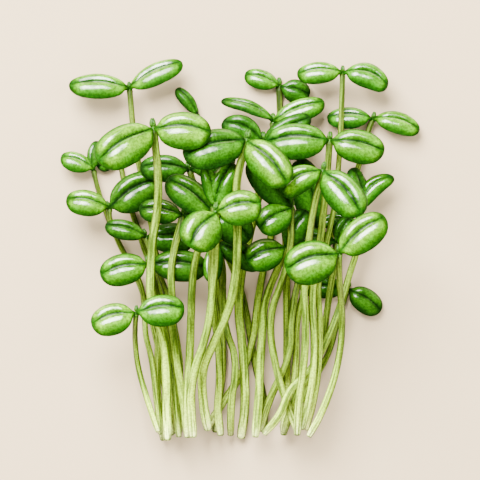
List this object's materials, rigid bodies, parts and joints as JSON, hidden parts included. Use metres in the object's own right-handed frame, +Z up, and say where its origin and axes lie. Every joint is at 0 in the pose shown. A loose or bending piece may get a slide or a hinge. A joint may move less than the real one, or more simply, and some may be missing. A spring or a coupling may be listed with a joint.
{
  "type": "sunflower microgreens bunch",
  "caption": "Loose bunch of cut sunflower microgreens lying on its side: pale bare stems and paired glossy green seed leaves.",
  "frame": {"origin": "on the surface that the bunch lies on, under the middle of its outline", "axes": "+Y along the bunch from the cut ends to the leaves, +Z up from the surface, +X across the bunch"},
  "size_m": [0.1268, 0.135, 0.0558],
  "materials": {
    "stem": "satin",
    "leaf": "glossy"
  },
  "bodies": {
    "root": {"sprout_01_stem": "stem", "sprout_01_leaves": "leaf", "sprout_02_stem": "stem", "sprout_02_leaves": "leaf", "sprout_03_stem": "stem", "sprout_03_leaves": "leaf", "sprout_04_stem": "stem", "sprout_04_leaves": "leaf", "sprout_05_stem": "stem", "sprout_05_leaves": "leaf", "sprout_06_stem": "stem", "sprout_06_leaves": "leaf", "sprout_07_stem": "stem", "sprout_07_leaves": "leaf", "sprout_08_stem": "stem", "sprout_08_leaves": "leaf", "sprout_09_stem": "stem", "sprout_09_leaves": "leaf", "sprout_10_stem": "stem", "sprout_10_leaves": "leaf", "sprout_11_stem": "stem", "sprout_11_leaves": "leaf", "sprout_12_stem": "stem", "sprout_12_leaves": "leaf", "sprout_13_stem": "stem", "sprout_13_leaves": "leaf", "sprout_14_stem": "stem", "sprout_14_leaves": "leaf", "sprout_15_stem": "stem", "sprout_15_leaves": "leaf", "sprout_16_stem": "stem", "sprout_16_leaves": "leaf", "sprout_17_stem": "stem", "sprout_17_leaves": "leaf", "sprout_18_stem": "stem", "sprout_18_leaves": "leaf", "sprout_19_stem": "stem", "sprout_19_leaves": "leaf", "sprout_20_stem": "stem", "sprout_20_leaves": "leaf", "sprout_21_stem": "stem", "sprout_21_leaves": "leaf", "sprout_22_stem": "stem", "sprout_22_leaves": "leaf", "sprout_23_stem": "stem", "sprout_23_leaves": "leaf", "sprout_24_stem": "stem", "sprout_24_leaves": "leaf", "sprout_25_stem": "stem", "sprout_25_leaves": "leaf", "sprout_26_stem": "stem", "sprout_26_leaves": "leaf", "sprout_27_stem": "stem", "sprout_27_leaves": "leaf", "sprout_28_stem": "stem", "sprout_28_leaves": "leaf", "sprout_29_stem": "stem", "sprout_29_leaves": "leaf", "sprout_30_stem": "stem", "sprout_30_leaves": "leaf"}
  },
  "joints": []
}
